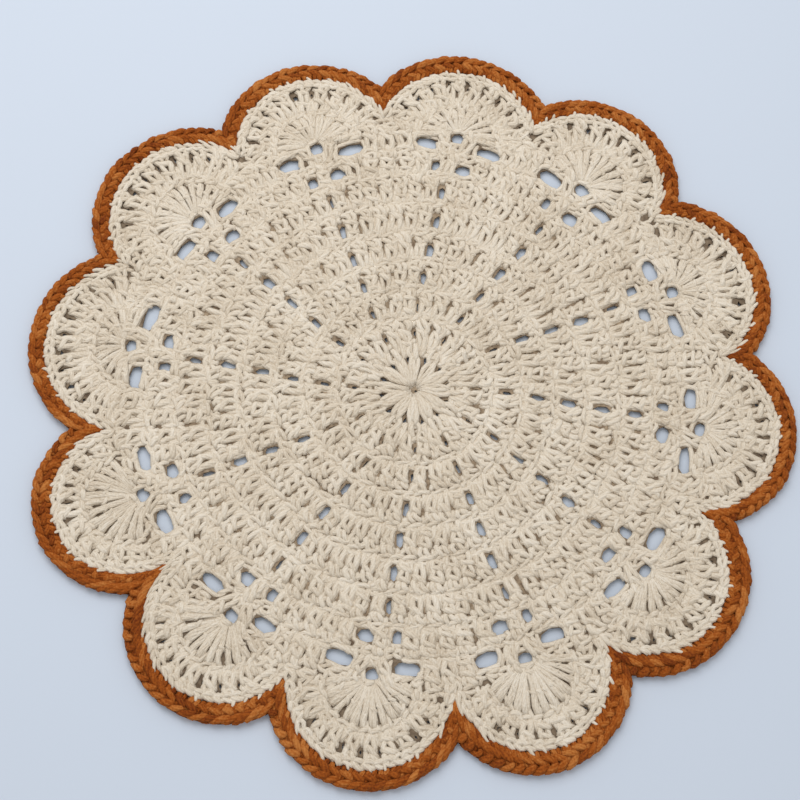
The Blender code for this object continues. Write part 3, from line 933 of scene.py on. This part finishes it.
# %% [markdown]
# The edging is one round of short stitches in rust. Each has two legs that grip the cream
# chain, and the two arms of a V, which lock into the next V and so make a plait along the
# rim. About three in five of them pull a thin loop of the cream yarn out with them.
# %% The rust edging
SHORT = [
    [(-.3, -.16, 1.9, .75), (-.26, .04, 3.3, .95), (-.18, .24, 3.5, .95), (-.08, .46, 2.4, .8)],
    [(.2, -.16, 1.9, .75), (.22, .04, 3.2, .95), (.18, .24, 3.4, .95), (.08, .46, 2.4, .8)],
    [(-.25, -.1, 1.8, .9), (-.25, .2, 2.5, 1.1), (-.25, .55, 2.7, 1.1), (-.25, .9, 2, 1)],
    [(.25, -.1, 1.8, .9), (.25, .2, 2.5, 1.1), (.25, .55, 2.7, 1.1), (.25, .9, 2, 1)],
]
PLAIT = [
    [(-.72, .6, 2.6, .75), (-.4, .7, 4, 1.05), (-.02, .84, 4.2, 1.15),
     (.42, .94, 3.5, 1.1), (.86, .9, 2.2, .95)],
    [(-.7, .56, 2.6, .75), (-.4, .47, 4, 1.05), (-.02, .34, 4.1, 1.1),
     (.36, .24, 3.4, 1), (.72, .3, 2.2, .9)],
    [(-.7, .9, 1.5, .9), (-.3, .84, 1.6, 1.1), (.3, .88, 1.6, 1.1), (.7, .9, 1.5, .9)],
]
CAUGHT = [(.26, -.46, 3, .6), (.12, -.26, 3.8, .62), (-.02, -.08, 4.1, .52), (-.14, .08, 3.3, .34)]
SHORT_PITCH = 5.1  # millimetres of rim to a short stitch
SEAM, HEM = 0.3, 0.55  # left free against the cream and at the outer edge


def short_stitches(number):
    """One scallop's short stitches, about one to each short pitch, across its whole band."""
    low_in, high_in = (ends[number] for ends in arc_ends(RADIUS))
    low_out, high_out = (ends[number] for ends in arc_ends(RADIUS + BAND))
    rim_radius = RADIUS[number] + BAND[number]
    length = math.radians(high_out - low_out) * rim_radius
    count = int(round(length / SHORT_PITCH))
    share = (np.arange(count) + 0.5) / count
    inner_width = math.radians(high_in - low_in) * RADIUS[number] / count
    return radial(low_in + share * (high_in - low_in), RADIUS[number] + SEAM, inner_width,
                  low_out + share * (high_out - low_out), rim_radius - HEM, length / count,
                  CENTRES[number])


rim = all_round(short_stitches)
CAUGHT_SHARE = 0.6
caught = chosen(shaken(rim, 0.9), chance.random(len(rim.base)) < CAUGHT_SHARE)
rim_yarn = lay_all(rim, SHORT, 5, wobble=0.28) + lay_all(rim, PLAIT, 6, wobble=0.24)
print("short stitches:", len(rim.base), "cream loops caught:", len(caught.base))

# %% [markdown]
# Under all this yarn lies the ground cloth. It stands for the depth of the stitches,
# where strand crosses strand, and its dark brown colour is painted shade. Its shape is a
# flattened copy of the solid model. Its openings are partly closed and lie a little towards
# the light's far side, so painted shade shows as an inner wall on one side of each opening.
# %% Ground cloth, in painted shade
# how far the cloth's depth, painted as shade, closes each kind of opening, in the order of their table
CLOSED = (0.5, 0.3, 0.5, 0.4, 0.15, 0.05, 0.05, 0.2, 0.0) + (0.6,) * 12
ALL_CLOSED = np.repeat(CLOSED, [len(kind.middle) for kind in HOLES])
# painted shade: the cloth's openings are shifted away from the lamp's side, so its dark colour shows as a
# shaded inner wall on that side of each opening
PAINTED_SHADE_SIDE = np.array([0.65, -0.45])  # the cloth's openings lie this much off the yarn's
RIM_REACH = 1.2  # cloth this near to an opening's rim goes with it


def painted_shade_cloth(name, node, low, share, colours, widen, outer_painted_shade):
    """A flattened copy of a solid: height = low + share * height, points stepped aside by widen.

    The colour is painted shade, painted deeper outside the plain rounds, where the fabric is
    thicker and more open: it grows by the given strength * (60 r - 6.9), kept between 0 and that
    strength, with r in metres."""
    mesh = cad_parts[node].data.copy()
    work = bmesh.new()
    work.from_mesh(mesh)
    bmesh.ops.remove_doubles(work, verts=work.verts[:], dist=1e-6)
    work.to_mesh(mesh)
    work.free()
    spots = np.empty(len(mesh.vertices) * 3)
    mesh.vertices.foreach_get("co", spots)
    spots = spots.reshape(-1, 3) / MM
    flat = step_aside(spots[:, :2] + MIDDLE, widen)
    near, nearest = rim_share(flat, RIM_REACH)
    beside_hole = (near < 1.0)[:, None]
    flat += beside_hole * ((ALL_HOLES.middle[nearest] - flat) * ALL_CLOSED[nearest][:, None] + PAINTED_SHADE_SIDE)
    spots[:, :2] = flat - MIDDLE
    spots[:, 2] = low + share * spots[:, 2]
    mesh.vertices.foreach_set("co", (spots * MM).ravel())
    mesh.update()
    graph = Graph(name)
    mottle = graph.noise(420.0, 2.0)
    distance = graph.node("ShaderNodeVectorMath", {"operation": "LENGTH"}, {0: graph.place()}, 1)
    dark, light, deepest_painted_shade = colours
    # painted shade: the colour is mixed towards the deepest painted shade outside about 115 mm from the
    # middle
    shade = (distance * 60.0 - 6.9).clamped() * outer_painted_shade
    colour = graph.mix(shade, graph.mix((mottle * 2.6 - 0.8).clamped(), dark, light), deepest_painted_shade)
    mesh.materials.clear()
    mesh.materials.append(graph.finish({
        "Base Color": colour, "Roughness": 1.0, "Specular IOR Level": 0.0}))
    print(name, "triangles:", len(mesh.polygons), "top at", np.round(spots[:, 2].max(), 2), "mm")
    return placed(name, mesh)


# the two cloths' dark, light and deepest colours: painted shade, darker than either yarn
PAINTED_CREAM_SHADE = ((0.18, 0.13, 0.09, 1), (0.42, 0.33, 0.235, 1), (0.07, 0.052, 0.04, 1))
PAINTED_RUST_SHADE = ((0.09, 0.02, 0.004, 1), (0.17, 0.045, 0.01, 1), (0.05, 0.01, 0.002, 1))
ground = painted_shade_cloth("cream_painted_shade", "mat_body", 1.2, 0.28, PAINTED_CREAM_SHADE, widen=0.4, outer_painted_shade=0.45)
rust_painted_shade = painted_shade_cloth("rust_painted_shade", "edging", 1.0, 0.36, PAINTED_RUST_SHADE, widen=0.0, outer_painted_shade=0.0)

# %% [markdown]
# All strands of one part of the mat are joined into one piece, so the mat is a handful
# of objects. Every piece rides with the mat's one body and stands for the solid that it
# covers, which is hidden.
# %% Pieces
def stitched(groups, runs):
    """The strands of several groups of tall stitches, one group after the other."""
    return [strands for group, run in zip(groups, runs) for strands in tall_stitches(group, run)]


inner = ribs(petals, PETAL) + stitched(wedge_rounds[:4], (2, 3, 4, 5))
outer = stitched(wedge_rounds[4:] + [eight, lone, nine], (6, 7, 5, 0, 3))
flower_yarn = tall_stitches(left, thick=0.9) + tall_stitches(right, thick=0.9)
flower_yarn += [lay(wander, WANDER, 4, thick=0.85)]
fan_yarn = ribs(fan, RIB, thick=0.85) + [lay(fan, RIB_WRAP, 5, thick=0.82)] + chain(fan, 0.95)
crown_yarn = tall_stitches(crown, pinch=0.16, thick=0.98, knots=0.6) + [lay(crown, BETWEEN_LOW, 4)]
edge_yarn = lay_all(crown_edge, EDGE, 6, thick=0.9) + [lay(caught, CAUGHT, 5, wobble=0.2)]
LOWERED = (0, 0, 0, 0.5, 0)  # the first round's chain lies half a millimetre lower
links = lay_all(first_links, np.array(CHAIN) - LOWERED, 6)
for number, group in enumerate(wedge_rounds, 2):
    links += chain(joined(group, eyelet_links(number)))
links += chain(joined(eight, lone, bare)) + chain(nine) + round_openings

cream_yarns = {"inner_rounds": inner, "outer_rounds": outer, "flowers": flower_yarn, "fans": fan_yarn,
               "crowns": crown_yarn, "crown_edges": edge_yarn, "chains": links}
cream_pieces = [tubes(name, groups, cream) for name, groups in cream_yarns.items()]
rim_piece = tubes("rust_edging", rim_yarn, rust)
covers = [(piece, "mat_body", "cream_cotton") for piece in [ground] + cream_pieces]
covers += [(piece, "edging", "rust_cotton") for piece in (rust_painted_shade, rim_piece)]
for piece, node, slot in covers:
    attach(piece, "root")
    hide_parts(node)
print("pieces:", len(covers))

# %% [markdown]
# The mat lies on a plain pale floor, in an even, soft surround. One large lamp hangs high
# above the far side, so its light grazes the stitches and their relief shows without
# hard shadows.
# %% Floor and light
FLOOR_REACH = 60.0  # metres to each side, so its edge is never seen
FLOOR_HEIGHT = -0.0002
floor_mesh = bpy.data.meshes.new("floor")
floor_corners = [(x * FLOOR_REACH, y * FLOOR_REACH, FLOOR_HEIGHT)
                 for x, y in ((-1, -1), (1, -1), (1, 1), (-1, 1))]
floor_mesh.from_pydata(floor_corners, [], [(0, 1, 2, 3)])
pale = Graph("pale_floor")
floor_mesh.materials.append(pale.finish({"Base Color": (0.59, 0.665, 0.785, 1), "Roughness": 0.75}))
floor = placed("floor", floor_mesh)

bpy.context.scene.view_settings.view_transform = "Standard"
world = bpy.data.worlds.new("studio")
bpy.context.scene.world = world
world.use_nodes = True
surround = world.node_tree.nodes["Background"].inputs
surround["Color"].default_value = (1.0, 0.99, 0.97, 1)
surround["Strength"].default_value = 0.64

LAMP_PLACE = (-0.21, 0.55, 1.03)  # metres; it points at the mat's middle
LAMP_SIZE, LAMP_WATTS = 0.9, 7.5
lamp_data = bpy.data.lights.new("lamp", "AREA")
lamp_data.shape = "SQUARE"
lamp_data.size = LAMP_SIZE
lamp_data.energy = LAMP_WATTS
lamp_data.color = (1.0, 0.98, 0.95)
lamp = placed("lamp", lamp_data)
lamp.location = LAMP_PLACE
lamp.rotation_mode = "QUATERNION"
lamp.rotation_quaternion = (-lamp.location).to_track_quat("-Z", "Y")
print("lamp, metres from the mat's middle:", round(lamp.location.length, 2))

# %% [markdown]
# The camera looks down at the mat from its near side, tilted about nineteen degrees off
# the upright, with a long lens, so the round mat looks a little shorter than it is wide.
# %% Camera
LENS_MM, SENSOR_MM = 71.05, 36.0
CAMERA_PLACE = (-0.0397, -0.2551, 0.7310)  # metres
# unit vectors towards the view's right, its top and straight ahead
CAMERA_AXES = np.array([
    (0.99905, -0.00723, 0.04297), (-0.00723, 0.94500, 0.32698), (0.04297, 0.32698, -0.94405)])
camera_data = bpy.data.cameras.new("camera")
camera_data.sensor_width = SENSOR_MM
camera_data.lens = LENS_MM
camera_data.clip_start = 0.05
camera_data.clip_end = 200.0
camera = placed("camera", camera_data)
stand = np.eye(4)
stand[:3, :3] = CAMERA_AXES.T * (1, 1, -1)
stand[:3, 3] = CAMERA_PLACE
camera.matrix_world = Matrix(stand.tolist())
bpy.context.scene.camera = camera
print("camera height, metres:", round(camera.matrix_world.translation.z, 3))
